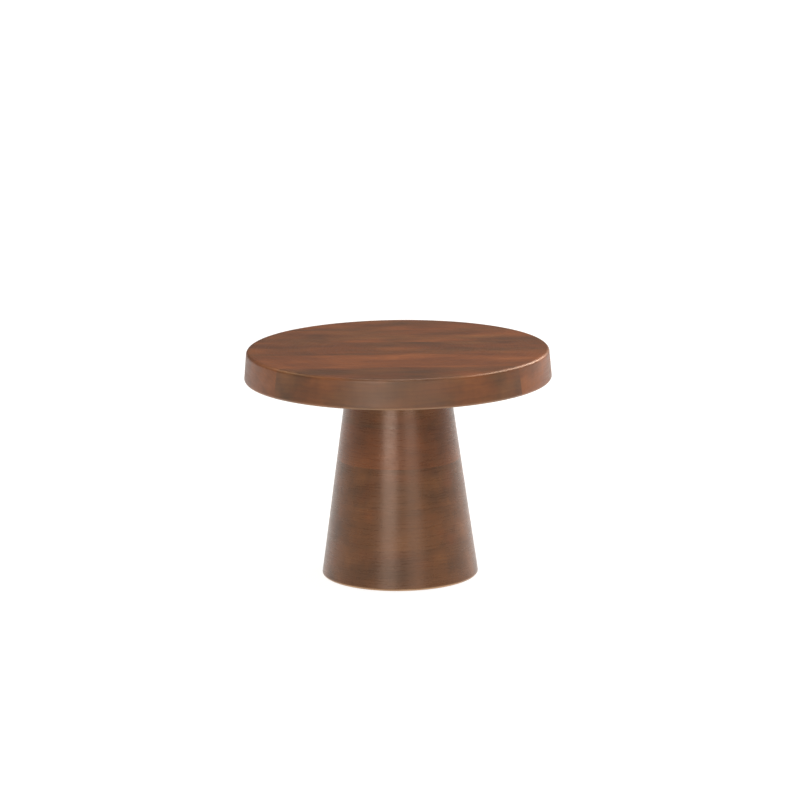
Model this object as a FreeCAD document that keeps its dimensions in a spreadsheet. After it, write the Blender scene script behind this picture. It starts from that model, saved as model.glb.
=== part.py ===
import FreeCAD, Part
import os
import Sketcher

# Wooden pedestal cake stand: a turned round plate on a solid tapered pedestal.
#
# The plate is turned from boards glued edge to edge, and the pedestal from boards glued face to face.
# One hex bolt, hidden in a counterbore under the base, pulls the plate down on to the pedestal: it
# screws into a threaded insert in the plate's underside. Two fluted dowels stop the plate from
# turning, and a felt pad let into the base covers the counterbore and protects the table.
#
# The frame has +Z up and its origin on the table, at the centre of the felt pad's underside.
# The grain of every board runs along X. All sizes are in millimetres.

SIZES = [
    ("plate_radius", 127.0, "largest radius of the plate, at its lower edge"),
    ("plate_top_radius", 124.8, "radius at the top, before rounding: the edge leans in"),
    ("plate_thickness", 25.0, ""),
    ("plate_top_round", 3.0, "rounding of the plate's upper edge"),
    ("plate_bottom_round", 2.2, "rounding of the plate's lower edge"),
    ("board_count", 5, "boards glued edge to edge in the plate"),
    ("board_width", 52.0, "width of one plate board"),
    ("pedestal_height", 165.0, "wooden height of the pedestal"),
    ("neck_radius", 42.0, "pedestal radius under the plate"),
    ("base_radius", 65.0, "pedestal radius at the base, before rounding"),
    ("base_round", 2.0, "rounding of the pedestal's lower edge"),
    ("layer_count", 5, "boards glued face to face in the pedestal"),
    ("felt_radius", 59.0, ""),
    ("felt_thickness", 2.0, ""),
    ("felt_proud", 1.0, "how far the felt stands below the wood"),
    ("felt_gap", 0.5, "radial gap round the felt in its recess"),
    ("bolt_diameter", 8.0, "M8"),
    ("bolt_length", 120.0, "under the head"),
    ("bolt_engagement", 13.0, "length of bolt inside the insert"),
    ("bolt_chamfer", 1.0, "chamfer at the bolt's tip"),
    ("bolt_hole", 9.0, "clearance hole through the pedestal"),
    ("head_flats", 13.0, "across the flats of the bolt's head"),
    ("head_height", 5.3, ""),
    ("head_face", 12.4, "diameter of the flat face that the chamfer leaves on the head"),
    ("head_corner_drop", 0.9, "height that the chamfer takes off the head's corners"),
    ("cut_past", 0.1, "how far a cutting outline runs past the solid"),
    ("counterbore", 22.0, "diameter of the hole that takes the head and a socket spanner"),
    ("washer_diameter", 20.0, ""),
    ("washer_hole", 8.4, ""),
    ("washer_thickness", 1.5, ""),
    ("lock_diameter", 14.8, "outer diameter of the split lock washer"),
    ("lock_thickness", 2.0, ""),
    ("lock_gap", 1.2, "width of the split"),
    ("insert_diameter", 12.0, "over the insert's wood thread"),
    ("insert_core", 10.4, "at the root of the wood thread"),
    ("insert_flange", 15.0, "diameter of the insert's flange"),
    ("flange_thickness", 1.2, ""),
    ("insert_length", 15.0, ""),
    ("insert_bore", 8.1, "clear of the bolt's thread, which is not cut"),
    ("ridge_count", 5, "ridges of the insert's wood thread"),
    ("ridge_pitch", 2.2, ""),
    ("ridge_start", 1.8, "first ridge below the insert's inner end"),
    ("ridge_root", 1.5, "width of a ridge where it leaves the core"),
    ("ridge_crest", 0.25, "width of a ridge at its crest"),
    ("ridge_sunk", 0.2, "depth of a ridge's root inside the core"),
    ("drive_flats", 8.6, "hexagonal drive socket in the insert's mouth"),
    ("drive_depth", 4.0, ""),
    ("insert_clearance", 0.1, "diametral room round the insert in its hole"),
    ("dowel_diameter", 8.0, ""),
    ("dowel_length", 30.0, ""),
    ("dowel_in_plate", 12.0, "length of dowel inside the plate"),
    ("dowel_offset", 26.0, "dowel centre from the stand's axis"),
    ("dowel_chamfer", 1.0, ""),
    ("dowel_clearance", 0.2, "diametral room for glue round a dowel"),
    ("flute_count", 12, "glue flutes round a dowel"),
    ("flute_radius", 0.6, ""),
    ("end_gap", 1.0, "empty depth past the end of a dowel, insert or bolt"),
]

doc = FreeCAD.newDocument("CakeStand")
sheet = doc.addObject("Spreadsheet::Sheet", "Size")
for row, (alias, value, note) in enumerate(SIZES, start=1):
    sheet.set(f"A{row}", alias)
    sheet.set(f"B{row}", str(value))
    sheet.setAlias(f"B{row}", alias)
    sheet.set(f"C{row}", note)
doc.recompute()

# Heights and depths that follow from the sizes, as expressions on the sheet.
NECK_Z = "(Size.felt_proud + Size.pedestal_height)"
TOP_Z = f"({NECK_Z} + Size.plate_thickness)"
WASHERS = "(Size.washer_thickness + Size.lock_thickness)"
HEAD_Z = f"({NECK_Z} + Size.bolt_engagement - Size.bolt_length)"
COUNTERBORE_TOP = f"({HEAD_Z} + {WASHERS})"
DOWEL_Z = f"({NECK_Z} + Size.dowel_in_plate - Size.dowel_length)"
DOWEL_HOLE = "(Size.dowel_diameter + Size.dowel_clearance)"


# ---------------------------------------------------------------- helpers


def bind(obj, **expressions):
    """Binds properties to expressions; a name such as Placement__Base__z means Placement.Base.z."""
    for name, expression in expressions.items():
        obj.setExpression(name.replace("__", "."), expression)


def new_body(name):
    body = doc.addObject("PartDesign::Body", name)
    body.Label = name
    return body


def new_sketch(body, name, plane, height=None):
    """A sketch on one of the body's origin planes, lifted by the expression height if given."""
    sketch = body.newObject("Sketcher::SketchObject", name)
    face = next(f for f in body.Origin.OriginFeatures if f.Role == plane)
    sketch.AttachmentSupport = (face, [""])
    sketch.MapMode = "FlatFace"
    if height:
        bind(sketch, AttachmentOffset__Base__z=height)
    return sketch


def pin_point(sketch, geometry, point, x, y):
    """Holds a sketch point at the expressions x and y, measured from the sketch's origin."""
    for kind, expression in (("DistanceX", x), ("DistanceY", y)):
        length = float(sketch.evalExpression(expression))
        index = sketch.addConstraint(Sketcher.Constraint(kind, -1, 1, geometry, point, length))
        sketch.setExpression(f"Constraints[{index}]", expression)


def add_outline(sketch, corners):
    """A closed outline of straight lines through corners, each a pair of expressions."""
    points = [
        FreeCAD.Vector(*(float(sketch.evalExpression(e)) for e in corner), 0) for corner in corners
    ]
    count = len(points)
    for i in range(count):
        sketch.addGeometry(Part.LineSegment(points[i], points[(i + 1) % count]), False)
    for i in range(count):
        sketch.addConstraint(Sketcher.Constraint("Coincident", i, 2, (i + 1) % count, 1))
        pin_point(sketch, i, 1, *corners[i])


def add_circle(sketch, diameter, x="0", y="0"):
    centre = FreeCAD.Vector(*(float(sketch.evalExpression(e)) for e in (x, y)), 0)
    radius = float(sketch.evalExpression(diameter)) / 2
    geometry = sketch.addGeometry(Part.Circle(centre, FreeCAD.Vector(0, 0, 1), radius), False)
    index = sketch.addConstraint(Sketcher.Constraint("Diameter", geometry, 2 * radius))
    sketch.setExpression(f"Constraints[{index}]", diameter)
    pin_point(sketch, geometry, 3, x, y)


def hexagon(flats):
    """Corners of a hexagon round the origin, flats apart."""
    reach = f"{flats} / sqrt(3)"
    return [(f"{reach} * cos({60 * k})", f"{reach} * sin({60 * k})") for k in range(6)]


def turn(body, name, corners, cut=False):
    """A solid of revolution about Z, or a turned cut, from an outline in the XZ plane."""
    sketch = new_sketch(body, name + "_profile", "XZ_Plane")
    add_outline(sketch, corners)
    feature = body.newObject("PartDesign::Groove" if cut else "PartDesign::Revolution", name)
    feature.Profile = sketch
    feature.ReferenceAxis = (sketch, ["V_Axis"])
    feature.Angle = 360
    doc.recompute()
    return feature


def extrude(body, name, height, length, draw, cut=False):
    """Pads a sketch upwards from height by length, or cuts the same space away."""
    sketch = new_sketch(body, name + "_sketch", "XY_Plane", height)
    draw(sketch)
    feature = body.newObject("PartDesign::Pocket" if cut else "PartDesign::Pad", name)
    feature.Profile = sketch
    feature.Reversed = cut
    bind(feature, Length=length)
    before = body.Shape.Volume if cut else None
    doc.recompute()
    if cut and not feature.Shape.Volume < before:
        raise RuntimeError(f"{name} cuts nothing")
    return feature


def round_edge(body, name, base, height, radius):
    """Rounds the widest circular edge of the feature base at the expression height."""
    level = float(sheet.evalExpression(height))
    found = [
        (edge.Curve.Radius, f"Edge{i}")
        for i, edge in enumerate(base.Shape.Edges, start=1)
        if isinstance(edge.Curve, Part.Circle) and abs(edge.Curve.Center.z - level) < 1e-6
    ]
    fillet = body.newObject("PartDesign::Fillet", name)
    fillet.Base = (base, [max(found)[1]])
    bind(fillet, Radius=radius)
    doc.recompute()
    return fillet


def mirror(body, name, feature):
    """Repeats a feature on the other side of the YZ plane."""
    mirrored = body.newObject("PartDesign::Mirrored", name)
    plane = next(f for f in body.Origin.OriginFeatures if f.Role == "YZ_Plane")
    mirrored.Originals = [feature]
    mirrored.MirrorPlane = (plane, [""])
    body.Tip = mirrored
    doc.recompute()
    return mirrored


def slab(name, width, depth, height, y, z):
    """A box centred on X, used to saw one board out of a turned shape."""
    box = doc.addObject("Part::Box", name)
    bind(box, Length=width, Width=depth, Height=height)
    bind(box, Placement__Base__x=f"-({width}) / 2", Placement__Base__y=y, Placement__Base__z=z)
    return box


def board(name, turned, saw):
    """One glued board: what the turned shape and the slab have in common."""
    piece = doc.addObject("Part::Common", name)
    piece.Base = turned
    piece.Tool = saw
    piece.Label = name
    return piece


# ---------------------------------------------------------------- wooden parts


def turned_plate():
    """The whole plate as it leaves the lathe, with the holes drilled in its underside."""
    body = new_body("turned_plate")
    outline = [
        ("0", NECK_Z),
        ("Size.plate_radius", NECK_Z),
        ("Size.plate_top_radius", TOP_Z),
        ("0", TOP_Z),
    ]
    blank = turn(body, "plate_blank", outline)
    top = round_edge(body, "plate_top_rounding", blank, TOP_Z, "Size.plate_top_round")
    round_edge(body, "plate_bottom_rounding", top, NECK_Z, "Size.plate_bottom_round")
    extrude(
        body,
        "insert_hole",
        NECK_Z,
        "Size.insert_length + Size.end_gap",
        lambda s: add_circle(s, "Size.insert_diameter + Size.insert_clearance"),
        cut=True,
    )
    extrude(
        body,
        "flange_recess",
        NECK_Z,
        "Size.flange_thickness",
        lambda s: add_circle(s, "Size.insert_flange + Size.insert_clearance"),
        cut=True,
    )
    hole = extrude(
        body,
        "plate_dowel_hole",
        NECK_Z,
        "Size.dowel_in_plate + Size.end_gap",
        lambda s: add_circle(s, DOWEL_HOLE, "Size.dowel_offset"),
        cut=True,
    )
    mirror(body, "plate_dowel_holes", hole)
    return body


def turned_pedestal():
    """The whole pedestal as it leaves the lathe, bored for the bolt, felt and dowels."""
    body = new_body("turned_pedestal")
    outline = [
        ("0", "Size.felt_proud"),
        ("Size.base_radius", "Size.felt_proud"),
        ("Size.neck_radius", NECK_Z),
        ("0", NECK_Z),
    ]
    blank = turn(body, "pedestal_blank", outline)
    round_edge(body, "base_rounding", blank, "Size.felt_proud", "Size.base_round")
    extrude(
        body,
        "felt_recess",
        "Size.felt_proud",
        "Size.felt_thickness - Size.felt_proud",
        lambda s: add_circle(s, "2 * (Size.felt_radius + Size.felt_gap)"),
        cut=True,
    )
    extrude(
        body,
        "head_counterbore",
        "Size.felt_proud",
        f"{COUNTERBORE_TOP} - Size.felt_proud",
        lambda s: add_circle(s, "Size.counterbore"),
        cut=True,
    )
    extrude(
        body,
        "bolt_bore",
        "Size.felt_proud",
        "Size.pedestal_height",
        lambda s: add_circle(s, "Size.bolt_hole"),
        cut=True,
    )
    hole = extrude(
        body,
        "pedestal_dowel_hole",
        f"{DOWEL_Z} - Size.end_gap",
        f"{NECK_Z} - ({DOWEL_Z} - Size.end_gap)",
        lambda s: add_circle(s, DOWEL_HOLE, "Size.dowel_offset"),
        cut=True,
    )
    mirror(body, "pedestal_dowel_holes", hole)
    return body


def plate_boards():
    """The plate's boards, front to back, sawn apart along their glue lines."""
    turned = turned_plate()
    names = ["front", "front_middle", "centre", "back_middle", "back"]
    pieces = []
    for i, place in enumerate(names):
        saw = slab(
            f"saw_plate_{i + 1}",
            "3 * Size.plate_radius",
            "Size.board_width",
            "Size.plate_thickness",
            f"({i} - Size.board_count / 2) * Size.board_width",
            NECK_Z,
        )
        pieces.append(board(f"plate_board_{i + 1}_{place}", turned, saw))
    return pieces


def pedestal_layers():
    """The pedestal's boards, bottom to top, sawn apart along their glue lines."""
    turned = turned_pedestal()
    names = ["base", "lower", "middle", "upper", "neck"]
    layer = "(Size.pedestal_height / Size.layer_count)"
    pieces = []
    for i, place in enumerate(names):
        saw = slab(
            f"saw_pedestal_{i + 1}",
            "3 * Size.base_radius",
            "3 * Size.base_radius",
            layer,
            "-3 * Size.base_radius / 2",
            f"Size.felt_proud + {i} * {layer}",
        )
        pieces.append(board(f"pedestal_layer_{i + 1}_{place}", turned, saw))
    return pieces


def locating_dowel(name, side):
    """A fluted wooden dowel, side being 1 on the right of the axis and -1 on the left."""
    body = new_body(name)
    radius = "Size.dowel_diameter / 2"
    outline = [
        ("0", "0"),
        (f"{radius} - Size.dowel_chamfer", "0"),
        (radius, "Size.dowel_chamfer"),
        (radius, "Size.dowel_length - Size.dowel_chamfer"),
        (f"{radius} - Size.dowel_chamfer", "Size.dowel_length"),
        ("0", "Size.dowel_length"),
    ]
    turn(body, name + "_rod", outline)
    flute = extrude(
        body,
        name + "_flute",
        "0",
        "Size.dowel_length",
        lambda s: add_circle(s, "2 * Size.flute_radius", radius),
        cut=True,
    )
    pattern = body.newObject("PartDesign::PolarPattern", name + "_flutes")
    pattern.Originals = [flute]
    pattern.Axis = (next(f for f in body.Origin.OriginFeatures if f.Role == "Z_Axis"), [""])
    pattern.Angle = 360
    bind(pattern, Occurrences="Size.flute_count")
    body.Tip = pattern
    bind(body, Placement__Base__x=f"{side} * Size.dowel_offset", Placement__Base__z=DOWEL_Z)
    return body


# ---------------------------------------------------------------- fastening


def hex_bolt():
    """Hex bolt with chamfered head corners and tip; the thread is left at its outer diameter."""
    body = new_body("plate_bolt")
    extrude(
        body,
        "bolt_head",
        f"{HEAD_Z} - Size.head_height",
        "Size.head_height",
        lambda s: add_outline(s, hexagon("Size.head_flats")),
    )
    head_bottom = f"({HEAD_Z} - Size.head_height)"
    past_corner = "Size.head_flats / sqrt(3) + Size.cut_past"
    chamfer = [
        ("Size.head_face / 2", head_bottom),
        (past_corner, f"{head_bottom} + Size.head_corner_drop"),
        (past_corner, head_bottom),
    ]
    turn(body, "head_chamfer", chamfer, cut=True)
    shank = "Size.bolt_diameter / 2"
    tip = f"({HEAD_Z} + Size.bolt_length)"
    outline = [
        ("0", HEAD_Z),
        (shank, HEAD_Z),
        (shank, f"{tip} - Size.bolt_chamfer"),
        (f"{shank} - Size.bolt_chamfer", tip),
        ("0", tip),
    ]
    turn(body, "bolt_shank", outline)
    return body


def flat_washer():
    body = new_body("flat_washer")

    def rings(sketch):
        add_circle(sketch, "Size.washer_diameter")
        add_circle(sketch, "Size.washer_hole")

    height = f"{HEAD_Z} + Size.lock_thickness"
    extrude(body, "flat_washer_ring", height, "Size.washer_thickness", rings)
    return body


def lock_washer():
    """Split spring washer, pressed flat under the bolt's head."""
    body = new_body("lock_washer")

    def rings(sketch):
        add_circle(sketch, "Size.lock_diameter")
        add_circle(sketch, "Size.washer_hole")

    def split(sketch):
        half = "Size.lock_gap / 2"
        add_outline(
            sketch,
            [
                ("0", f"-{half}"),
                ("Size.lock_diameter", f"-{half}"),
                ("Size.lock_diameter", half),
                ("0", half),
            ],
        )

    extrude(body, "lock_washer_ring", HEAD_Z, "Size.lock_thickness", rings)
    extrude(body, "lock_washer_split", HEAD_Z, "Size.lock_thickness", split, cut=True)
    return body


def threaded_insert():
    """Flanged insert with ridges that grip the wood and a hexagonal drive socket in its mouth."""
    body = new_body("threaded_insert")
    core, crest, bore = (f"Size.{s} / 2" for s in ("insert_core", "insert_diameter", "insert_bore"))
    end = f"({NECK_Z} + Size.insert_length)"
    outline = [
        (bore, NECK_Z),
        ("Size.insert_flange / 2", NECK_Z),
        ("Size.insert_flange / 2", f"{NECK_Z} + Size.flange_thickness"),
        (core, f"{NECK_Z} + Size.flange_thickness"),
        (core, end),
        (bore, end),
    ]
    turn(body, "insert_sleeve", outline)
    for k in range(int(sheet.ridge_count)):
        middle = f"({end} - Size.ridge_start - {k} * Size.ridge_pitch)"
        ridge = [
            (f"{core} - Size.ridge_sunk", f"{middle} - Size.ridge_root / 2"),
            (crest, f"{middle} - Size.ridge_crest / 2"),
            (crest, f"{middle} + Size.ridge_crest / 2"),
            (f"{core} - Size.ridge_sunk", f"{middle} + Size.ridge_root / 2"),
        ]
        turn(body, f"insert_ridge_{k + 1}", ridge)
    extrude(
        body,
        "insert_drive",
        NECK_Z,
        "Size.drive_depth",
        lambda s: add_outline(s, hexagon("Size.drive_flats")),
        cut=True,
    )
    return body


def felt_pad():
    pad = doc.addObject("Part::Cylinder", "base_felt_pad")
    pad.Label = "base_felt_pad"
    bind(pad, Radius="Size.felt_radius", Height="Size.felt_thickness")
    return pad


# ---------------------------------------------------------------- build and export


def check_document():
    for obj in doc.Objects:
        if {"Invalid", "Error"} & set(obj.State):
            raise RuntimeError(f"{obj.Name} failed: {obj.State}")


def export(pieces):
    os.makedirs("parts", exist_ok=True)
    for piece in pieces:
        shape = piece.Shape
        if shape.isNull() or not shape.isValid() or len(shape.Solids) != 1:
            raise RuntimeError(f"{piece.Label} is not one valid solid")
    for piece in pieces:
        solid = piece.Shape.Solids[0]
        solid.exportStep(f"parts/{piece.Label}.step")
        print(f"{piece.Label}: {solid.Volume / 1000:.2f} cm3")


pieces = plate_boards() + pedestal_layers()
pieces += [locating_dowel("locating_dowel_left", -1), locating_dowel("locating_dowel_right", 1)]
pieces += [hex_bolt(), flat_washer(), lock_washer(), threaded_insert(), felt_pad()]
doc.recompute()
check_document()
export(pieces)
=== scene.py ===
import math

import bmesh
import bpy
from mathutils import Matrix, Vector, noise


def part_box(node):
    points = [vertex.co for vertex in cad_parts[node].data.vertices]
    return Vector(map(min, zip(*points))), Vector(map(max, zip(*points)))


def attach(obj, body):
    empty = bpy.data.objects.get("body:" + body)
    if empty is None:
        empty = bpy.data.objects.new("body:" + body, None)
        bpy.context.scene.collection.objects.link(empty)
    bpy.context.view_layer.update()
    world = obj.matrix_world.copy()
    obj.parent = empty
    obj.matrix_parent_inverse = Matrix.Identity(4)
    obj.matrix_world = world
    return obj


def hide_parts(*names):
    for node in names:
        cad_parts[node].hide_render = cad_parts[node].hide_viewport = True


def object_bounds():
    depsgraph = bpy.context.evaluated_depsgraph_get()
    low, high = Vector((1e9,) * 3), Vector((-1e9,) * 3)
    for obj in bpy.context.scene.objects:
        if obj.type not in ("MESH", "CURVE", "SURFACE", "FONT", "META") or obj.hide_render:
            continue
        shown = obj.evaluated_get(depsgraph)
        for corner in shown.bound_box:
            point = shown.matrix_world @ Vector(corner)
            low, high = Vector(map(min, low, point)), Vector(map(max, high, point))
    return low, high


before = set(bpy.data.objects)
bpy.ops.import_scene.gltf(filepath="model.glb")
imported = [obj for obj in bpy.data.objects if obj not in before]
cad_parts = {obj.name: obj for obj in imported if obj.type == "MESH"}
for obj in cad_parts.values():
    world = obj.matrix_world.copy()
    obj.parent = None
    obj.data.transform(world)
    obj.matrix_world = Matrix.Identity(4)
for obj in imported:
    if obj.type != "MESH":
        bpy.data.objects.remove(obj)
cad_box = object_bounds()

# The looks of a turned wooden cake stand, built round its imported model, and the studio it stands in.
# Every piece is made again as a finer mesh: turned wood with a slightly uneven, sanded surface, real
# threads on the bolt and insert, and felt with a nap. Shapes and patterns are worked out in
# millimetres in the model's frame, +Z up, and colours are linear.

MM = 0.001


def span(node):
    """The lowest and highest corners of a CAD node in millimetres."""
    return tuple(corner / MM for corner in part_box(node))


# Heights, and some radii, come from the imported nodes. The other sizes are named here.
PLATE_BOTTOM = span("plate_board_3_centre")[0].z
PLATE_TOP = span("plate_board_3_centre")[1].z
PLATE_RADIUS = 127.0
PLATE_TOP_RADIUS = 124.8
PLATE_TOP_ROUND = 3.0
PLATE_BOTTOM_ROUND = 2.2

BASE_BOTTOM = span("pedestal_layer_1_base")[0].z
BASE_RADIUS = 65.0
NECK_RADIUS = 42.0
BASE_ROUND = 2.0
FELT_RECESS_RADIUS = 59.5
FELT_TOP = span("base_felt_pad")[1].z

COUNTERBORE_RADIUS = 11.0
COUNTERBORE_TOP = span("flat_washer")[1].z
BOLT_HOLE_RADIUS = 4.5
DOWEL_HOLE_RADIUS = 4.1
INSERT_HOLE_RADIUS = 6.05
FLANGE_HOLE_RADIUS = 7.55
END_GAP = 1.0

BOLT_DIAMETER = 8.0
BOLT_CHAMFER = 1.0
BOLT_THREAD_LENGTH = 22.0
THREAD_PITCH = 1.25
THREAD_DEPTH = 0.767
THREAD_ROOM = 0.05
OUTER_THREAD_FLATS = (1 / 8, 1 / 4)
INNER_THREAD_FLATS = (1 / 4, 1 / 8)
WOOD_THREAD_FLATS = (0.1, 0.35)
HEAD_FLATS = 13.0
HEAD_FACE = 12.4
HEAD_CORNER_DROP = 0.9
BOLT_HEAD_HEIGHT = 5.3
WASHER_HOLE_RADIUS = 4.2
LOCK_GAP = 1.2

INSERT_DIAMETER = 12.0
INSERT_CORE = 10.4
INSERT_FLANGE = 15.0
INSERT_FLANGE_THICKNESS = 1.2
INSERT_PITCH = 2.2
DRIVE_FLATS = 8.6
DRIVE_DEPTH = 4.0

DOWEL_RADIUS = 4.0
DOWEL_CHAMFER = 1.0
FLUTE_COUNT = 12
FLUTE_RADIUS = 0.6

NAP_DEPTH = 0.07
TUFT_LENGTH = 1.7
SMALL_TUFT_LENGTH = 0.9
SMALL_TUFT_SHARE = 0.6

# How finely the meshes are made.
FEWEST_CORNERS = 12
ARC_STEP = math.radians(10)
SHARP_ANGLE = math.radians(35)
RINGS_PER_PITCH = 10
RINGS_PER_WOOD_PITCH = 14

# The lathe's marks are placed by their distance along the profile, roughly height plus this share of
# the radius.
RADIUS_SHARE = 0.73


# ---------------------------------------------------------------- shader graphs


class Graph:
    """A node tree with short ways to add and join nodes. An input is a socket or a plain value."""

    def __init__(self, tree):
        self.tree = tree

    def add(self, kind, inputs=None, output=0, **settings):
        """Adds a node, sets it up and returns one of its outputs."""
        node = self.tree.nodes.new(kind)
        for name, value in settings.items():
            setattr(node, name, value)
        for key, value in (inputs or {}).items():
            self.feed(node.inputs[key], value)
        return node.outputs[output]

    def feed(self, socket, value):
        if isinstance(value, bpy.types.NodeSocket):
            self.tree.links.new(value, socket)
        else:
            socket.default_value = value

    def math(self, operation, *values, clamp=False):
        return self.add("ShaderNodeMath", dict(enumerate(values)), operation=operation, use_clamp=clamp)

    def vector(self, operation, *values, output=0):
        return self.add("ShaderNodeVectorMath", dict(enumerate(values)), output, operation=operation)

    def combine(self, x, y, z):
        return self.add("ShaderNodeCombineXYZ", {0: x, 1: y, 2: z})

    def separate(self, vector):
        node = self.tree.nodes.new("ShaderNodeSeparateXYZ")
        self.feed(node.inputs[0], vector)
        return node.outputs

    def noise(self, place, rates, detail=2.0, roughness=0.5, color=False):
        """Soft noise. The rates say how finely it varies along each axis of place."""
        inputs = {
            "Vector": self.vector("MULTIPLY", place, rates),
            "Scale": 1.0,
            "Detail": detail,
            "Roughness": roughness,
        }
        return self.add("ShaderNodeTexNoise", inputs, 1 if color else 0)

    def smooth(self, value, low, high, to_low=0.0, to_high=1.0):
        """Maps value from low..high to to_low..to_high along a smooth step, clamped."""
        inputs = {0: value, 1: low, 2: high, 3: to_low, 4: to_high}
        return self.add("ShaderNodeMapRange", inputs, interpolation_type="SMOOTHSTEP")

    def mix(self, amount, first, second, blend="MIX"):
        """Mixes two colours, which are a Mix node's inputs 6 and 7 and its output 2."""
        node = self.tree.nodes.new("ShaderNodeMix")
        node.data_type = "RGBA"
        node.blend_type = blend
        self.feed(node.inputs["Factor"], amount)
        self.feed(node.inputs[6], first)
        self.feed(node.inputs[7], second)
        return node.outputs[2]

    def ramp(self, value, stops):
        node = self.tree.nodes.new("ShaderNodeValToRGB")
        elements = node.color_ramp.elements
        while len(elements) < len(stops):
            elements.new(0.5)
        for element, (position, color) in zip(elements, stops):
            element.position = position
            element.color = (*color, 1)
        self.feed(node.inputs[0], value)
        return node.outputs[0]


def new_material(name):
    """A material with a Principled shader, its graph and that shader's node."""
    material = bpy.data.materials.new(name)
    material.use_nodes = True
    nodes = material.node_tree.nodes
    nodes.clear()
    shader = nodes.new("ShaderNodeBsdfPrincipled")
    output = nodes.new("ShaderNodeOutputMaterial")
    material.node_tree.links.new(shader.outputs[0], output.inputs[0])
    return material, Graph(material.node_tree), shader


# ---------------------------------------------------------------- mesh making


def profile(corners, closed=False):
    """Points along an outline. A corner is its radius, its height, its rounding and the longest step
    allowed on the way to the next corner."""
    points = []
    last = len(corners) - 1
    for i, (radius, height, rounding, step) in enumerate(corners):
        corner = Vector((radius, height))
        is_end = not closed and i in (0, last)
        if rounding == 0 or is_end:
            points.append((corner, step))
            continue
        back = (Vector(corners[i - 1][:2]) - corner).normalized()
        ahead = (Vector(corners[(i + 1) % len(corners)][:2]) - corner).normalized()
        half = back.angle(ahead) / 2
        centre = corner + (back + ahead).normalized() * rounding / math.sin(half)
        start = corner + back * rounding / math.tan(half) - centre
        turn = math.copysign(math.pi - 2 * half, ahead.x * back.y - ahead.y * back.x)
        count = math.ceil(abs(turn) / ARC_STEP)
        for k in range(count + 1):
            points.append((centre + Matrix.Rotation(turn * k / count, 2) @ start, step))
    result = []
    following = points[1:] + (points[:1] if closed else [])
    for (point, step), (target, _) in zip(points, following):
        parts = max(1, math.ceil((target - point).length / step))
        result += [point.lerp(target, k / parts) for k in range(parts)]
    return result if closed else result + [points[-1][0]]


def bridge(mesh, first, second):
    """Joins two rings with faces. A ring may have a fraction of the other's corners, or be a point."""
    if len(first) < len(second):
        first, second = second, first
    many, few = len(first), len(second)
    if few == 1:
        for k in range(many):
            mesh.faces.new((first[k], first[(k + 1) % many], second[0]))
        return
    step = many // few
    for k in range(few):
        outer = [first[(k * step + j) % many] for j in range(step + 1)]
        mesh.faces.new(outer + [second[(k + 1) % few], second[k]])


def lathe(rings, most, fine, closed=False):
    """Turns a profile about Z and returns the mesh, in millimetres. A ring is a radius and a height,
    and its radius may be a function of angle and height. Such a ring has most corners. A plain ring's
    count is halved for as long as its corners are well under fine apart."""
    mesh = bmesh.new()
    loops = []
    for radius, height in rings:
        count = most
        if not callable(radius):
            while count > FEWEST_CORNERS and math.tau * radius / count < 0.7 * fine and count % 2 == 0:
                count //= 2
            if radius < 1e-6:
                count = 1
        loop = []
        for k in range(count):
            angle = math.tau * k / count
            r = radius(angle, height) if callable(radius) else radius
            loop.append(mesh.verts.new((r * math.cos(angle), r * math.sin(angle), height)))
        loops.append(loop)
    following = loops[1:] + (loops[:1] if closed else [])
    for loop, target in zip(loops, following):
        bridge(mesh, loop, target)
    bmesh.ops.recalc_face_normals(mesh, faces=mesh.faces)
    return mesh


def make_piece(name, mesh, material, node, offset=(0, 0, 0)):
    """Turns a mesh in millimetres into the piece that stands for a CAD node."""
    bmesh.ops.translate(mesh, vec=offset, verts=mesh.verts)
    bmesh.ops.scale(mesh, vec=(MM, MM, MM), verts=mesh.verts)
    data = bpy.data.meshes.new(name)
    mesh.to_mesh(data)
    mesh.free()
    for face in data.polygons:
        face.use_smooth = True
    data.set_sharp_from_angle(angle=SHARP_ANGLE)
    data.materials.append(material)
    piece = bpy.data.objects.new(name, data)
    bpy.context.scene.collection.objects.link(piece)
    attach(piece, "root")
    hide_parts(node)
    return piece


def cut_away(piece, cutters):
    """Cuts holes in a piece. Each cutter is a mesh in millimetres, and is used up."""
    for mesh in cutters:
        bmesh.ops.scale(mesh, vec=(MM, MM, MM), verts=mesh.verts)
        data = bpy.data.meshes.new("cutter")
        mesh.to_mesh(data)
        mesh.free()
        cutter = bpy.data.objects.new("cutter", data)
        bpy.context.scene.collection.objects.link(cutter)
        modifier = piece.modifiers.new("hole", "BOOLEAN")
        modifier.operation = "DIFFERENCE"
        modifier.solver = "EXACT"
        modifier.object = cutter
        bpy.context.view_layer.update()
        whole = piece.data
        depsgraph = bpy.context.evaluated_depsgraph_get()
        holed = bpy.data.meshes.new_from_object(piece.evaluated_get(depsgraph))
        piece.modifiers.remove(modifier)
        piece.data = holed
        holed.name = piece.name
        bpy.data.meshes.remove(whole)
        bpy.data.objects.remove(cutter)
        bpy.data.meshes.remove(data)


def screw_radius(angle, height, pitch, crest, root, crest_share, root_share):
    """The radius of a right-hand thread's surface. The shares are the flats' parts of the pitch."""
    phase = (height / pitch - angle / math.tau) % 1
    from_root = abs(2 * phase - 1)
    climb = (from_root - root_share) / (1 - crest_share - root_share)
    return root + (crest - root) * min(1, max(0, climb))


def hexagon_radius(angle, flats):
    """The distance from the middle of a hexagon, flats across, to its side at an angle."""
    from_flat = (angle + math.pi / 6) % (math.pi / 3) - math.pi / 6
    return flats / 2 / math.cos(from_flat)


# ---------------------------------------------------------------- materials


def millimetres(g):
    """The shaded point in the model's frame, in millimetres."""
    place = g.tree.nodes.new("ShaderNodeTexCoord").outputs["Object"]
    scaled = g.vector("SCALE", place)
    scaled.node.inputs["Scale"].default_value = 1 / MM
    return scaled


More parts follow.
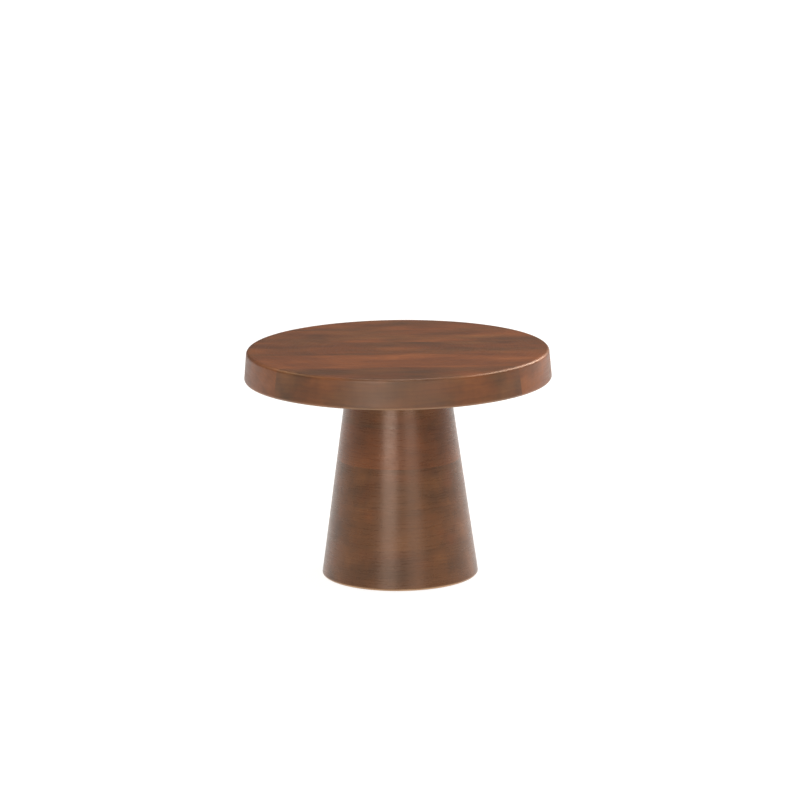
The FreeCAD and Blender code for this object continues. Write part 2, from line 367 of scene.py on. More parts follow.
def lathe_line(g, place):
    """A place in which lines run round the axis: the way round, and the distance along the profile.
    The radius and the height come with it."""
    x, y, z = g.separate(place)
    outward = g.combine(x, y, 0.0)
    radius = g.vector("LENGTH", outward, output=1)
    around_x, around_y, _ = g.separate(g.vector("NORMALIZE", outward))
    along = g.math("MULTIPLY_ADD", radius, RADIUS_SHARE, z)
    return g.combine(around_x, around_y, along), radius, z


def add_bump(g, shader, height, strength, distance):
    """Relief for a shader. The distance is in millimetres."""
    inputs = {"Strength": strength, "Distance": distance * MM, "Height": height}
    g.feed(shader.inputs["Normal"], g.add("ShaderNodeBump", inputs))


WOOD_TONES = [
    (0.00, (0.036, 0.015, 0.006)),
    (0.30, (0.073, 0.026, 0.008)),
    (0.55, (0.114, 0.039, 0.011)),
    (0.80, (0.162, 0.057, 0.016)),
    (1.00, (0.230, 0.088, 0.029)),
]
RED_TINT = (1.08, 0.95, 0.84, 1)
OLIVE_TINT = (0.91, 0.98, 0.98, 1)
PORE_COLOR = (0.022, 0.011, 0.007, 1)
RING_SPACING = 4.0
GROOVE_PITCH = 1.7
# Painted reflection of the pale table, partly rubbed-thin stain: its light tan, and the plate arris's
# share of it.
ARRIS_GLINT_COLOR = (0.46, 0.27, 0.14, 1)
PLATE_GLINT_SHARE = 0.35


def arris_glint_and_wear(g, radius, z):
    """How much painted table reflection, partly rubbed-thin stain, lightens the lower arrises of base
    and plate.
    """
    base = g.smooth(z, BASE_BOTTOM + 2.2, BASE_BOTTOM + 1.3)
    plate = g.math(
        "MULTIPLY",
        g.smooth(z, PLATE_BOTTOM + 2.4, PLATE_BOTTOM + 1.0),
        g.smooth(radius, PLATE_RADIUS - 3.5, PLATE_RADIUS - 1.5),
    )
    return g.math("ADD", base, g.math("MULTIPLY", plate, PLATE_GLINT_SHARE))


def wood_group():
    """Stained wood with its grain along X. Its outputs are its colour, roughness and relief. Grain is
    how strongly the fine lines show against the broad patches of stain."""
    tree = bpy.data.node_groups.new("stained_wood", "ShaderNodeTree")
    sockets = [
        ("Shift", "NodeSocketVector", (0, 0, 0)),
        ("Turn", "NodeSocketVector", (0, 0, 0)),
        ("Pith", "NodeSocketVector", (0, 0, -90)),
        ("Redness", "NodeSocketFloat", 0.0),
        ("Dullness", "NodeSocketFloat", 0.29),
        ("Lightness", "NodeSocketFloat", 0.0),
        ("Grain", "NodeSocketFloat", 1.0),
    ]
    for name, kind, default in sockets:
        socket = tree.interface.new_socket(name, in_out="INPUT", socket_type=kind)
        socket.default_value = default
    tree.interface.new_socket("Color", in_out="OUTPUT", socket_type="NodeSocketColor")
    tree.interface.new_socket("Roughness", in_out="OUTPUT", socket_type="NodeSocketFloat")
    tree.interface.new_socket("Height", in_out="OUTPUT", socket_type="NodeSocketFloat")

    g = Graph(tree)
    given = tree.nodes.new("NodeGroupInput").outputs
    result = tree.nodes.new("NodeGroupOutput").inputs
    place = millimetres(g)
    turned, radius, z = lathe_line(g, place)
    board_place = g.add(
        "ShaderNodeMapping",
        {"Vector": place, "Location": given["Shift"], "Rotation": given["Turn"]},
    )

    # The rings bend slowly along the board, as the tree's trunk did.
    bend = g.noise(board_place, (0.005, 0.012, 0.012), detail=2.0, color=True)
    bend = g.vector("MULTIPLY", g.vector("SUBTRACT", bend, (0.5, 0.5, 0.5)), (0, 24, 24))
    from_pith = g.vector("ADD", g.vector("SUBTRACT", board_place, given["Pith"]), bend)
    from_pith = g.vector("MULTIPLY", from_pith, (0, 1, 1))
    ring_radius = g.vector("LENGTH", from_pith, output=1)
    ring = g.math("DIVIDE", ring_radius, RING_SPACING)
    ripple = g.noise(board_place, (0.015, 0.2, 0.2), detail=3.0)
    ring = g.math("ADD", ring, g.math("MULTIPLY", ripple, 1.2))
    season = g.math("FRACT", ring)
    latewood = g.math("MULTIPLY", g.smooth(season, 0.2, 0.9), g.smooth(season, 0.999, 0.93))
    year = g.noise(g.combine(g.math("FLOOR", ring), 3.7, 1.2), (1.7, 1.7, 1.7), detail=0.0)

    # Marks of the lathe run round the axis and take up more or less stain.
    marks = g.noise(turned, (3.0, 3.0, 0.60), detail=3.0, roughness=0.6)
    bands = g.noise(turned, (0.8, 0.8, 0.14), detail=2.0)
    groove_phase = g.math("MULTIPLY", g.separate(turned)[2], math.tau / GROOVE_PITCH)
    groove_depth = g.noise(turned, (1.3, 1.3, 0.06), detail=2.0)
    groove_depth = g.smooth(groove_depth, 0.45, 0.65, 0.0, 0.5)
    grooves = g.math("MULTIPLY_ADD", g.math("SINE", groove_phase), groove_depth, 0.5)

    broad = g.noise(board_place, (0.008, 0.040, 0.040), detail=1.5)
    streak = g.noise(board_place, (0.016, 0.26, 0.26), detail=4.0, roughness=0.6)
    fibre = g.noise(board_place, (0.04, 1.6, 1.6), detail=3.0, roughness=0.65)
    blotch = g.noise(board_place, (0.022, 0.050, 0.055), detail=2.0)
    cross = g.noise(place, (0.16, 0.16, 0.05), detail=2.0)

    def layered(layers, tone):
        """Adds a share of each pattern to the tone, so that a middling pattern adds nothing."""
        for pattern, share in layers:
            tone = g.math("MULTIPLY_ADD", g.math("SUBTRACT", pattern, 0.5), share, tone)
        return tone

    figure = layered([(streak, 0.13), (fibre, 0.05), (latewood, -0.04), (year, 0.06)], 0.0)
    tone = g.math("MULTIPLY_ADD", figure, given["Grain"], given["Lightness"])
    stain = [(broad, 0.45), (blotch, 0.85), (cross, 0.20), (marks, 0.08), (bands, 0.14), (grooves, 0.02)]
    tone = layered(stain, tone)
    color = g.ramp(g.math("ADD", tone, 0.5, clamp=True), WOOD_TONES)

    # The stain is redder in some stretches of the grain and olive in others.
    hue = g.noise(board_place, (0.018, 0.050, 0.050), detail=2.0)
    hue = g.smooth(g.math("ADD", hue, given["Redness"]), 0.34, 0.66)
    color = g.mix(1.0, color, g.mix(hue, OLIVE_TINT, RED_TINT), blend="MULTIPLY")
    # Painted reflection of the pale table, partly rubbed-thin stain, lightens the lower arrises.
    table_glint = arris_glint_and_wear(g, radius, z)
    color = g.mix(g.math("MULTIPLY", table_glint, g.smooth(marks, 0.3, 0.7, 0.5, 0.9)), color, ARRIS_GLINT_COLOR)

    # Open pores are short dashes along the grain, and a few streaks are longer, wider and darker.
    pore = g.noise(board_place, (0.10, 2.0, 2.0), detail=1.0)
    pore = g.smooth(pore, 0.66, 0.76)
    vein = g.noise(board_place, (0.070, 0.80, 0.80), detail=1.5)
    vein = g.smooth(vein, 0.69, 0.77)
    dark = g.math("MAXIMUM", g.math("MULTIPLY", pore, 0.13), g.math("MULTIPLY", vein, 0.27))
    color = g.mix(dark, color, PORE_COLOR)

    roughness = g.math("MULTIPLY_ADD", g.math("SUBTRACT", marks, 0.5), 0.24, given["Dullness"])
    roughness = g.math("MULTIPLY_ADD", g.math("SUBTRACT", fibre, 0.5), 0.12, roughness)
    roughness = g.math("MULTIPLY_ADD", pore, 0.12, roughness, clamp=True)

    height = g.math("MULTIPLY_ADD", grooves, 0.12, g.math("MULTIPLY", marks, 0.5))
    height = g.math("MULTIPLY_ADD", fibre, 0.4, height)
    height = g.math("MULTIPLY_ADD", pore, -0.8, height)

    g.feed(result["Color"], color)
    g.feed(result["Roughness"], roughness)
    g.feed(result["Height"], height)
    return tree


def wood_material(name, group, **board):
    """The stained wood of one board, cut from its own place in the tree."""
    material, g, shader = new_material(name)
    node = material.node_tree.nodes.new("ShaderNodeGroup")
    node.node_tree = group
    for key, value in board.items():
        node.inputs[key.title()].default_value = value
    g.feed(shader.inputs["Base Color"], node.outputs["Color"])
    g.feed(shader.inputs["Roughness"], node.outputs["Roughness"])
    add_bump(g, shader, node.outputs["Height"], strength=0.45, distance=0.08)
    shader.inputs["Specular IOR Level"].default_value = 0.8
    shader.inputs["Specular Tint"].default_value = (1, 0.75, 0.61, 1)
    return material


# Where in the tree each board was cut, in millimetres, how its grain leans, in radians, and how much
# lighter and redder its stain came out.
PLATE_BOARDS = {
    "plate_board_1_front": dict(
        shift=(180, 40, 12), pith=(0, -60, -70), turn=(0, 0.03, 0.02), lightness=-0.09
    ),
    "plate_board_2_front_middle": dict(
        shift=(-120, 95, 33), pith=(0, 150, -50), turn=(0, 0.02, -0.03), lightness=0.12, redness=0.34
    ),
    "plate_board_3_centre": dict(
        shift=(540, -70, 61), pith=(0, -90, 90), turn=(0, -0.02, 0.01), lightness=-0.04
    ),
    "plate_board_4_back_middle": dict(
        shift=(-730, 30, 5), pith=(0, 80, -80), turn=(0, 0.01, 0.03), lightness=0.02
    ),
    "plate_board_5_back": dict(
        shift=(95, -210, 84), pith=(0, 60, 75), turn=(0, 0.03, -0.02), lightness=-0.04
    ),
}
PLATE_DULLNESS = 0.43
PLATE_GRAIN = 1.8

PEDESTAL_LAYERS = {
    "pedestal_layer_1_base": dict(
        shift=(-420, 30, 15), pith=(0, 20, 150), turn=(0, 0.04, 0.02), lightness=-0.05, redness=-0.15
    ),
    "pedestal_layer_2_lower": dict(
        shift=(-340, 12, 48), pith=(0, -10, -130), turn=(0, 0.03, -0.02), lightness=-0.04, redness=-0.13
    ),
    "pedestal_layer_3_middle": dict(
        shift=(430, -35, 91), pith=(0, 15, 190), turn=(0, 0.05, 0.01), lightness=-0.07, redness=-0.08
    ),
    "pedestal_layer_4_upper": dict(
        shift=(-590, 25, 22), pith=(0, -20, -160), turn=(0, 0.04, 0.03), lightness=0.03, redness=0.17
    ),
    "pedestal_layer_5_neck": dict(
        shift=(155, -15, 77), pith=(0, 30, 140), turn=(0, 0.03, 0.02), lightness=-0.02, redness=0.0
    ),
}
PEDESTAL_DULLNESS = 0.29


def metal_material(name, clean, dull, roughness):
    """Plated or cast metal with cloudy patches, a fine grain and light scratches."""
    material, g, shader = new_material(name)
    place = millimetres(g)
    cloud = g.noise(place, (0.3, 0.3, 0.3), detail=4.0, roughness=0.6)
    grain = g.noise(place, (6.0, 6.0, 6.0), detail=3.0)
    turned, _, _ = lathe_line(g, place)
    scratch = g.noise(turned, (1.5, 1.5, 9.0), detail=3.0, roughness=0.7)
    g.feed(shader.inputs["Base Color"], g.mix(g.smooth(cloud, 0.35, 0.7), clean, dull))
    rough = g.math("MULTIPLY_ADD", g.math("SUBTRACT", cloud, 0.5), 0.30, roughness)
    rough = g.math("MULTIPLY_ADD", g.math("SUBTRACT", scratch, 0.5), 0.25, rough, clamp=True)
    g.feed(shader.inputs["Roughness"], rough)
    height = g.math("MULTIPLY_ADD", grain, 0.5, g.math("MULTIPLY", scratch, 0.6))
    add_bump(g, shader, height, strength=0.3, distance=0.03)
    shader.inputs["Metallic"].default_value = 1.0
    return material


BEECH_TONES = [
    (0.25, (0.36, 0.20, 0.10)),
    (0.50, (0.52, 0.32, 0.17)),
    (0.80, (0.66, 0.44, 0.26)),
]
RAY_COLOR = (0.26, 0.12, 0.06, 1)


def beech_material():
    """Plain beech with its grain along Z and the short brown flecks of its rays."""
    material, g, shader = new_material("beech")
    place = millimetres(g)
    streak = g.noise(place, (0.9, 0.9, 0.03), detail=4.0, roughness=0.6)
    fibre = g.noise(place, (5.0, 5.0, 0.25), detail=3.0)
    fleck = g.smooth(g.noise(place, (4.0, 1.6, 0.6), detail=1.0), 0.66, 0.72)
    tone = g.math("MULTIPLY_ADD", g.math("SUBTRACT", fibre, 0.5), 0.5, streak, clamp=True)
    color = g.ramp(tone, BEECH_TONES)
    color = g.mix(g.math("MULTIPLY", fleck, 0.6), color, RAY_COLOR)
    g.feed(shader.inputs["Base Color"], color)
    g.feed(shader.inputs["Roughness"], g.smooth(fibre, 0.2, 0.8, 0.5, 0.72))
    add_bump(g, shader, g.math("MULTIPLY_ADD", streak, 0.5, fibre), strength=0.5, distance=0.06)
    return material


FELT_TONES = [
    (0.30, (0.022, 0.014, 0.010)),
    (0.60, (0.060, 0.041, 0.030)),
    (0.85, (0.130, 0.095, 0.070)),
]


def felt_material():
    """Dark brown pressed felt: matted fibres of slightly different colours."""
    material, g, shader = new_material("brown_felt")
    place = millimetres(g)
    warp = g.noise(place, (0.8, 0.8, 0.8), detail=2.0, color=True)
    matted = g.vector("ADD", place, g.vector("MULTIPLY", warp, (2.0, 2.0, 2.0)))
    lengthways = g.noise(matted, (7.0, 1.1, 5.0), detail=3.0, roughness=0.6)
    crossways = g.noise(matted, (1.1, 7.0, 5.0), detail=3.0, roughness=0.6)
    fibre = g.math("MAXIMUM", lengthways, crossways)
    cloud = g.noise(place, (0.12, 0.12, 0.12), detail=3.0)
    tone = g.math("MULTIPLY_ADD", g.math("SUBTRACT", cloud, 0.5), 0.5, fibre, clamp=True)
    g.feed(shader.inputs["Base Color"], g.ramp(tone, FELT_TONES))
    g.feed(shader.inputs["Roughness"], g.smooth(fibre, 0.3, 0.8, 0.98, 0.82))
    shader.inputs["Sheen Weight"].default_value = 0.35
    shader.inputs["Sheen Roughness"].default_value = 0.5
    shader.inputs["Specular IOR Level"].default_value = 0.2
    add_bump(g, shader, fibre, strength=0.8, distance=0.25)
    return material


# ---------------------------------------------------------------- turned wood


def step_up(value, low, high):
    """0 below low, 1 above high and a straight climb between them."""
    return min(1, max(0, (value - low) / (high - low)))


WAVE_LENGTH = 23.0
WAVE_DEPTH = 0.045
RIPPLE_LENGTH = 2.4
RIPPLE_DEPTH = 0.010


def sanding(point):
    """How far turning and sanding have left the surface below the drawn one, in millimetres."""
    wave = noise.noise(point / WAVE_LENGTH)
    radius = math.hypot(point.x, point.y)
    along = point.z + RADIUS_SHARE * radius
    ripple = noise.noise(Vector((point.x / radius, point.y / radius, along / RIPPLE_LENGTH)))
    return WAVE_DEPTH * (1 + wave) + RIPPLE_DEPTH * (1 + ripple)


def turned_plate():
    """The whole plate, turned and sanded, with the insert's hole in its underside."""
    insert_top = span("threaded_insert")[1].z + END_GAP
    flange_top = PLATE_BOTTOM + INSERT_FLANGE_THICKNESS
    corners = [
        (0, insert_top, 0, 3),
        (INSERT_HOLE_RADIUS, insert_top, 0, 3),
        (INSERT_HOLE_RADIUS, flange_top, 0, 3),
        (FLANGE_HOLE_RADIUS, flange_top, 0, 3),
        (FLANGE_HOLE_RADIUS, PLATE_BOTTOM, 0, 5),
        (PLATE_RADIUS, PLATE_BOTTOM, PLATE_BOTTOM_ROUND, 1),
        (PLATE_TOP_RADIUS, PLATE_TOP, PLATE_TOP_ROUND, 2),
        (0, PLATE_TOP, 0, 2),
    ]
    mesh = lathe(profile(corners), most=768, fine=1.4)
    mesh.normal_update()
    for vertex in mesh.verts:
        x, y, z = vertex.co
        radius = math.hypot(x, y)
        on_rim = radius > PLATE_TOP_RADIUS - 2 * PLATE_TOP_ROUND and z > PLATE_BOTTOM + 0.1
        on_top = z > PLATE_TOP - 0.1
        if (on_rim or on_top) and radius > 1:
            fade = step_up(z, PLATE_BOTTOM + 1, PLATE_BOTTOM + 4)
            vertex.co -= vertex.normal * sanding(vertex.co) * fade
    return mesh


def saw_off(mesh, y, outward):
    """Cuts the mesh at a glue line, keeps the side that outward points away from and closes it."""
    everything = mesh.verts[:] + mesh.edges[:] + mesh.faces[:]
    cut = bmesh.ops.bisect_plane(
        mesh, geom=everything, plane_co=(0, y, 0), plane_no=(0, outward, 0), clear_outer=True
    )
    edges = [part for part in cut["geom_cut"] if isinstance(part, bmesh.types.BMEdge)]
    bmesh.ops.holes_fill(mesh, edges=edges, sides=0)


def dowel_drills():
    """Drills for the two dowel holes, which run from the pedestal's neck into the plate."""
    drills = []
    for dowel in ("locating_dowel_left", "locating_dowel_right"):
        low, high = span(dowel)
        bottom, top = low.z - END_GAP, high.z + END_GAP
        corners = [
            (0, bottom, 0, 4),
            (DOWEL_HOLE_RADIUS, bottom, 0, 4),
            (DOWEL_HOLE_RADIUS, top, 0, 4),
            (0, top, 0, 4),
        ]
        drill = lathe(profile(corners), most=48, fine=0.5)
        bmesh.ops.translate(drill, vec=((low.x + high.x) / 2, 0, 0), verts=drill.verts)
        drills.append(drill)
    return drills


def make_plate(group):
    """The plate's five boards, sawn out of one turned plate."""
    plate = turned_plate()
    for node, board in PLATE_BOARDS.items():
        low, high = span(node)
        mesh = plate.copy()
        for y, outward in ((low.y, -1), (high.y, 1)):
            if abs(y) < PLATE_TOP_RADIUS:
                saw_off(mesh, y, outward)
        material = wood_material(
            node + "_wood", group, dullness=PLATE_DULLNESS, grain=PLATE_GRAIN, **board
        )
        piece = make_piece(node + "_turned", mesh, material, node)
        if low.y < 0 < high.y:
            cut_away(piece, dowel_drills())
    plate.free()


def wall_radius(z):
    """The pedestal's radius at a height."""
    share = (z - BASE_BOTTOM) / (PLATE_BOTTOM - BASE_BOTTOM)
    return BASE_RADIUS + (NECK_RADIUS - BASE_RADIUS) * share


def pedestal_layer(low, high):
    """One board of the pedestal between two heights, turned, sanded and bored."""
    is_base = low < BASE_BOTTOM + 1
    corners = [
        (wall_radius(low), low, BASE_ROUND if is_base else 0, 1),
        (wall_radius(high), high, 0, 4),
    ]
    if high < COUNTERBORE_TOP:
        corners += [(COUNTERBORE_RADIUS, high, 0, 4)]
    else:
        corners += [(BOLT_HOLE_RADIUS, high, 0, 4)]
    if low < COUNTERBORE_TOP < high:
        corners += [
            (BOLT_HOLE_RADIUS, COUNTERBORE_TOP, 0, 4),
            (COUNTERBORE_RADIUS, COUNTERBORE_TOP, 0, 4),
        ]
    bottom_bore = COUNTERBORE_RADIUS if low < COUNTERBORE_TOP else BOLT_HOLE_RADIUS
    if is_base:
        corners += [
            (bottom_bore, FELT_TOP, 0, 4),
            (FELT_RECESS_RADIUS, FELT_TOP, 0, 1),
            (FELT_RECESS_RADIUS, low, 0, 1),
        ]
    else:
        corners += [(bottom_bore, low, 0, 4)]
    mesh = lathe(profile(corners, closed=True), most=384, fine=1.2, closed=True)
    for vertex in mesh.verts:
        x, y, z = vertex.co
        radius = math.hypot(x, y)
        if radius > wall_radius(z) - 0.5:
            fade = step_up(z, BASE_BOTTOM + 1, BASE_BOTTOM + 4)
            smaller = 1 - sanding(vertex.co) * fade / radius
            vertex.co.x *= smaller
            vertex.co.y *= smaller
    return mesh


def make_pedestal(group):
    """The pedestal's five boards, each turned where it lies."""
    for node, board in PEDESTAL_LAYERS.items():
        low, high = span(node)
        mesh = pedestal_layer(low.z, high.z)
        material = wood_material(node + "_wood", group, dullness=PEDESTAL_DULLNESS, **board)
        piece = make_piece(node + "_turned", mesh, material, node)
        if high.z > PLATE_BOTTOM - 1:
            cut_away(piece, dowel_drills())


# ---------------------------------------------------------------- fastening and felt


def make_bolt(steel):
    """Hex bolt with a chamfered head and a rolled M8 thread over its last stretch."""
    low, high = span("plate_bolt")
    head_top = low.z + BOLT_HEAD_HEIGHT
    thread_start = high.z - BOLT_THREAD_LENGTH
    shank = BOLT_DIAMETER / 2
    corner_radius = HEAD_FLATS / math.sqrt(3)

    def head(angle, height):
        chamfer = HEAD_FACE / 2 + (height - low.z) * (corner_radius - HEAD_FACE / 2) / HEAD_CORNER_DROP
        return min(hexagon_radius(angle, HEAD_FLATS), chamfer)

    def thread(angle, height):
        fade = step_up(height, thread_start, thread_start + 2 * THREAD_PITCH)
        root = shank - THREAD_DEPTH * fade
        tip = shank - BOLT_CHAMFER + (high.z - height)
        return min(tip, screw_radius(angle, height, THREAD_PITCH, shank, root, *OUTER_THREAD_FLATS))

    chamfer_top = low.z + HEAD_CORNER_DROP
    rings = [(0, low.z), (HEAD_FACE / 4, low.z)]
    rings += [(head, low.z + HEAD_CORNER_DROP * k / 8) for k in range(9)]
    rings += [(head, chamfer_top + (head_top - chamfer_top) * k / 6) for k in range(1, 7)]
    neck = [(shank + 1.4, head_top, 0, 1), (shank, head_top, 0.4, 3), (shank, thread_start, 0, 3)]
    rings += [tuple(point) for point in profile(neck)]
    count = math.ceil(BOLT_THREAD_LENGTH / THREAD_PITCH * RINGS_PER_PITCH)
    rings += [(thread, thread_start + BOLT_THREAD_LENGTH * k / count) for k in range(1, count + 1)]
    rings += [((shank - BOLT_CHAMFER) / 2, high.z), (0, high.z)]
    mesh = lathe(rings, most=72, fine=0.1)
    make_piece("plate_bolt_threaded", mesh, steel, "plate_bolt")


def make_insert(zinc):
    """Flanged insert: a coarse wood thread outside, an M8 thread inside and a hexagonal drive."""
    low, high = span("threaded_insert")
    flange_top = low.z + INSERT_FLANGE_THICKNESS
    drive_top = low.z + DRIVE_DEPTH
    core, crest = INSERT_CORE / 2, INSERT_DIAMETER / 2
    minor = BOLT_DIAMETER / 2 - THREAD_DEPTH + THREAD_ROOM

    def outside(angle, height):
        fade = min(step_up(high.z - height, 0, 2), step_up(height, flange_top, flange_top + 0.6))
        ridge = core + (crest - core) * fade
        return screw_radius(angle, height, INSERT_PITCH, ridge, core, *WOOD_THREAD_FLATS)

    def inside(angle, height):
        mouth = max(step_up(drive_top + 0.8 - height, 0, 0.8), step_up(height, high.z - 0.7, high.z))
        root = minor + (BOLT_DIAMETER / 2 - minor) * mouth
        major = BOLT_DIAMETER / 2 + THREAD_ROOM
        return screw_radius(angle, height, THREAD_PITCH, major, root, *INNER_THREAD_FLATS)

    def drive(angle, height):
        return hexagon_radius(angle, DRIVE_FLATS)

    flange = INSERT_FLANGE / 2
    corners = [
        (crest, low.z, 0, 1),
        (flange, low.z, 0.3, 1),
        (flange, flange_top, 0.3, 1),
        (core, flange_top, 0, 1),
    ]
    rings = [tuple(point) for point in profile(corners)]
    sleeve = high.z - flange_top
    count = math.ceil(sleeve / INSERT_PITCH * RINGS_PER_WOOD_PITCH)
    rings += [(outside, flange_top + sleeve * k / count) for k in range(1, count + 1)]
    bore = high.z - drive_top
    count = math.ceil(bore / THREAD_PITCH * RINGS_PER_PITCH)
    rings += [(inside, high.z - bore * k / count) for k in range(count + 1)]
    rings += [(drive, drive_top - DRIVE_DEPTH * k / 6) for k in range(7)]
    mesh = lathe(rings, most=96, fine=0.1, closed=True)
    make_piece("threaded_insert_cast", mesh, zinc, "threaded_insert")


def make_flat_washer(steel):
    """Punched washer: rounded where the punch went in, sharp where it came out."""
    low, high = span("flat_washer")
    corners = [
        (high.x, low.z, 0.1, 1),
        (high.x, high.z, 0.35, 1),
        (WASHER_HOLE_RADIUS, high.z, 0.35, 1),
        (WASHER_HOLE_RADIUS, low.z, 0.1, 1),
    ]
    mesh = lathe(profile(corners, closed=True), most=96, fine=0.3, closed=True)
    make_piece("flat_washer_punched", mesh, steel, "flat_washer")


def make_lock_washer(steel):
    """Spring washer: one turn of flat wire with a slanting split, pressed flat by the bolt."""
    low, high = span("lock_washer")
    middle = (low.z + high.z) / 2
    outer = -low.x
    corners = [
        (WASHER_HOLE_RADIUS, low.z, 0.2, 1),
        (outer, low.z, 0.2, 1),
        (outer, high.z, 0.2, 1),
        (WASHER_HOLE_RADIUS, high.z, 0.2, 1),
    ]
    outline = profile(corners, closed=True)
    half_gap = LOCK_GAP / 2 / ((outer + WASHER_HOLE_RADIUS) / 2)
    slant = 0.5 * LOCK_GAP / 2 / outer / (high.z - middle)
    sections = 90
    mesh = bmesh.new()
    loops = []
    for k in range(sections + 1):
        turn = half_gap + (math.tau - 2 * half_gap) * k / sections
        loop = []
        for radius, height in outline:
            angle = turn + slant * (height - middle)
            loop.append(mesh.verts.new((radius * math.cos(angle), radius * math.sin(angle), height)))
        loops.append(loop)
    for loop, target in zip(loops, loops[1:]):
        bridge(mesh, loop, target)
    mesh.faces.new(loops[0])
    mesh.faces.new(loops[-1])
    bmesh.ops.recalc_face_normals(mesh, faces=mesh.faces)
    make_piece("lock_washer_split", mesh, steel, "lock_washer")


def make_dowels(beech):
    """Fluted dowels with chamfered ends."""

    def fluted(radius):
        def surface(angle, height):
            from_flute = (angle * FLUTE_COUNT / math.tau + 0.5) % 1 - 0.5
            across = from_flute * math.tau / FLUTE_COUNT * DOWEL_RADIUS
            depth = math.sqrt(max(0, FLUTE_RADIUS**2 - across**2))
            return min(radius, DOWEL_RADIUS - depth)

        return surface

    for node in ("locating_dowel_left", "locating_dowel_right"):
        low, high = span(node)
        length = high.z - low.z
        corners = [
            (DOWEL_RADIUS - DOWEL_CHAMFER, 0, 0, 0.3),
            (DOWEL_RADIUS, DOWEL_CHAMFER, 0.3, 1.5),
            (DOWEL_RADIUS, length - DOWEL_CHAMFER, 0.3, 0.3),
            (DOWEL_RADIUS - DOWEL_CHAMFER, length, 0, 0.3),
        ]
        rings = [(0, 0), (1.5, 0)]
        rings += [(fluted(radius), height) for radius, height in profile(corners)]
        rings += [(1.5, length), (0, length)]
        mesh = lathe(rings, most=16 * FLUTE_COUNT, fine=0.3)
        offset = ((low.x + high.x) / 2, 0, low.z)
        make_piece(node + "_fluted", mesh, beech, node, offset)


def make_felt(felt):
    """Pressed felt disc with softened edges and a slightly uneven nap."""
    low, high = span("base_felt_pad")
    corners = [
        (0, low.z, 0, 0.8),
        (high.x, low.z, 0.5, 0.5),
        (high.x, high.z, 0.5, 0.8),
        (0, high.z, 0, 0.8),
    ]
    mesh = lathe(profile(corners), most=384, fine=1.1)
    mesh.normal_update()
    for vertex in mesh.verts:
        tufts = noise.noise(vertex.co / TUFT_LENGTH)
        tufts += SMALL_TUFT_SHARE * noise.noise(vertex.co / SMALL_TUFT_LENGTH)
        vertex.co -= vertex.normal * NAP_DEPTH * (1 + SMALL_TUFT_SHARE + tufts)
    piece = make_piece("base_felt_pad_pressed", mesh, felt, "base_felt_pad")


def make_fastening():
    """What holds the plate to the pedestal, and the felt that covers it."""
    steel = metal_material(
        "zinc_plated_steel", clean=(0.66, 0.66, 0.62, 1), dull=(0.50, 0.49, 0.43, 1), roughness=0.30
    )
    zinc = metal_material(
        "zinc_alloy", clean=(0.60, 0.59, 0.55, 1), dull=(0.43, 0.41, 0.37, 1), roughness=0.42
    )
    make_bolt(steel)
    make_flat_washer(steel)
    make_lock_washer(steel)
    make_insert(zinc)
    make_dowels(beech_material())
    make_felt(felt_material())


# ---------------------------------------------------------------- studio

LENS_MM = 180.7
SENSOR_MM = 36
CAMERA_DISTANCE = 3.316
CAMERA_ELEVATION = math.radians(12.164)
CAMERA_ROLL = math.radians(-0.658)
CAMERA_AIM = Vector((0.00143, 0.0, 0.14738))


def make_camera():
    """A long lens in front of the stand, looking slightly down at a point just under the plate."""
    forward = Vector((0, math.cos(CAMERA_ELEVATION), -math.sin(CAMERA_ELEVATION)))
    level_right = Vector((1, 0, 0))
    level_up = level_right.cross(forward)
    right = math.cos(CAMERA_ROLL) * level_right + math.sin(CAMERA_ROLL) * level_up
    up = right.cross(forward)
    data = bpy.data.cameras.new("camera")
    data.lens = LENS_MM
    data.sensor_width = SENSOR_MM
    camera = bpy.data.objects.new("camera", data)
    bpy.context.scene.collection.objects.link(camera)
    matrix = Matrix((right, up, -forward)).transposed().to_4x4()
    matrix.translation = CAMERA_AIM - forward * CAMERA_DISTANCE
    camera.matrix_world = matrix
    bpy.context.scene.camera = camera


def direction(azimuth, elevation):
    """A unit vector from the stand. Azimuth 0 is towards the camera and 90 towards +X, in degrees."""
    a, e = math.radians(azimuth), math.radians(elevation)
    return Vector((math.sin(a) * math.cos(e), -math.cos(a) * math.cos(e), math.sin(e)))


WHITE = (1, 1, 1)
WARM = (1, 0.85, 0.73)
AMBER = (1, 0.78, 0.55)
PANEL_DISTANCE = 1.7
SIDE_DISTANCE = 1.5

# Each lamp's azimuth and elevation in degrees, its distance, width and height in metres, its radiance
# and its colour.
LAMPS = {
    "left_front_box": (-17, 20, PANEL_DISTANCE, 0.70, 1.16, 5.4, WHITE),
    "right_front_box": (23, 18, PANEL_DISTANCE, 0.74, 1.2, 1.9, WHITE),
    "right_back_box": (128, 27, SIDE_DISTANCE, 0.5, 0.3, 27, WARM),
    "right_high_box": (97, 46, SIDE_DISTANCE, 1.1, 0.36, 12.5, WARM),
    "left_high_box": (-100, 42, SIDE_DISTANCE, 1.0, 0.4, 5.0, AMBER),
}


def soft_box(name, place, target, width, height, radiance, color=WHITE, spread=180):
    """A rectangular lamp at place that faces target. The camera doesn't see it, but the stand does."""
    data = bpy.data.lights.new(name, "AREA")
    data.shape = "RECTANGLE"
    data.size, data.size_y = width, height
    data.energy = radiance * width * height * math.pi
    data.color = color
    data.spread = math.radians(spread)
    lamp = bpy.data.objects.new(name, data)
    bpy.context.scene.collection.objects.link(lamp)
    lamp.location = place
    lamp.rotation_mode = "QUATERNION"
    lamp.rotation_quaternion = (Vector(place) - Vector(target)).to_track_quat("Z", "Y")
    lamp.visible_camera = False


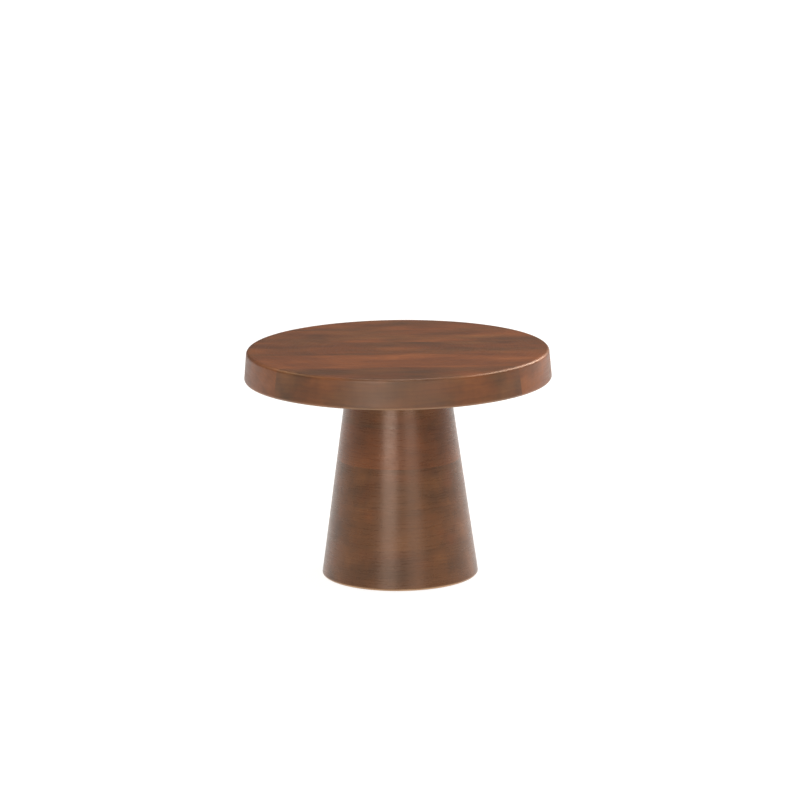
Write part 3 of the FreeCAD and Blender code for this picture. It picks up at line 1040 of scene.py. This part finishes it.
def make_world():
    """Faint white light from all round, a little stronger from behind the stand."""
    world = bpy.data.worlds.new("studio")
    world.use_nodes = True
    g = Graph(world.node_tree)
    background = world.node_tree.nodes["Background"]
    way = world.node_tree.nodes.new("ShaderNodeTexCoord").outputs["Generated"]
    behind = g.separate(way)[1]
    g.feed(background.inputs["Strength"], g.smooth(behind, 0.2, 0.85, to_low=0.12, to_high=0.17))
    background.inputs["Color"].default_value = (*WHITE, 1)
    bpy.context.scene.world = world


def make_lights():
    """Two upright boxes in front, warm ones higher up at the sides and behind, and light from above."""
    middle = Vector((0, 0, (cad_box[0].z + cad_box[1].z) / 2))
    for name, (azimuth, elevation, distance, width, height, radiance, color) in LAMPS.items():
        place = middle + direction(azimuth, elevation) * distance
        soft_box(name, place, middle, width, height, radiance, color)
    soft_box("overhead_box", (0, 0, 2.0), (0, 0, 0), 0.9, 0.9, 2.6, spread=120)
    soft_box("back_wash", (0, 3.4, 2.4), (0, 3.4, 0), 4.0, 2.4, 2.0, spread=110)


FLOOR_REACH = 14.0
FLOOR_TONE = 0.24
FLOOR_GLOW = 0.89


def make_floor():
    """A pale seamless table. Most of its white is its own glow, as on a light table."""
    mesh = bpy.data.meshes.new("floor")
    corners = [(x * FLOOR_REACH, y * FLOOR_REACH, 0) for x, y in ((-1, -1), (1, -1), (1, 1), (-1, 1))]
    mesh.from_pydata(corners, [], [(0, 1, 2, 3)])
    floor = bpy.data.objects.new("floor", mesh)
    bpy.context.scene.collection.objects.link(floor)
    material, _, shader = new_material("floor_paper")
    shader.inputs["Base Color"].default_value = (FLOOR_TONE, FLOOR_TONE, FLOOR_TONE, 1)
    shader.inputs["Roughness"].default_value = 1.0
    shader.inputs["Specular IOR Level"].default_value = 0.0
    shader.inputs["Emission Color"].default_value = (*WHITE, 1)
    shader.inputs["Emission Strength"].default_value = FLOOR_GLOW
    mesh.materials.append(material)


stained_wood = wood_group()
make_plate(stained_wood)
make_pedestal(stained_wood)
make_fastening()
make_floor()
make_world()
make_lights()
make_camera()
bpy.context.scene.view_settings.view_transform = "Standard"
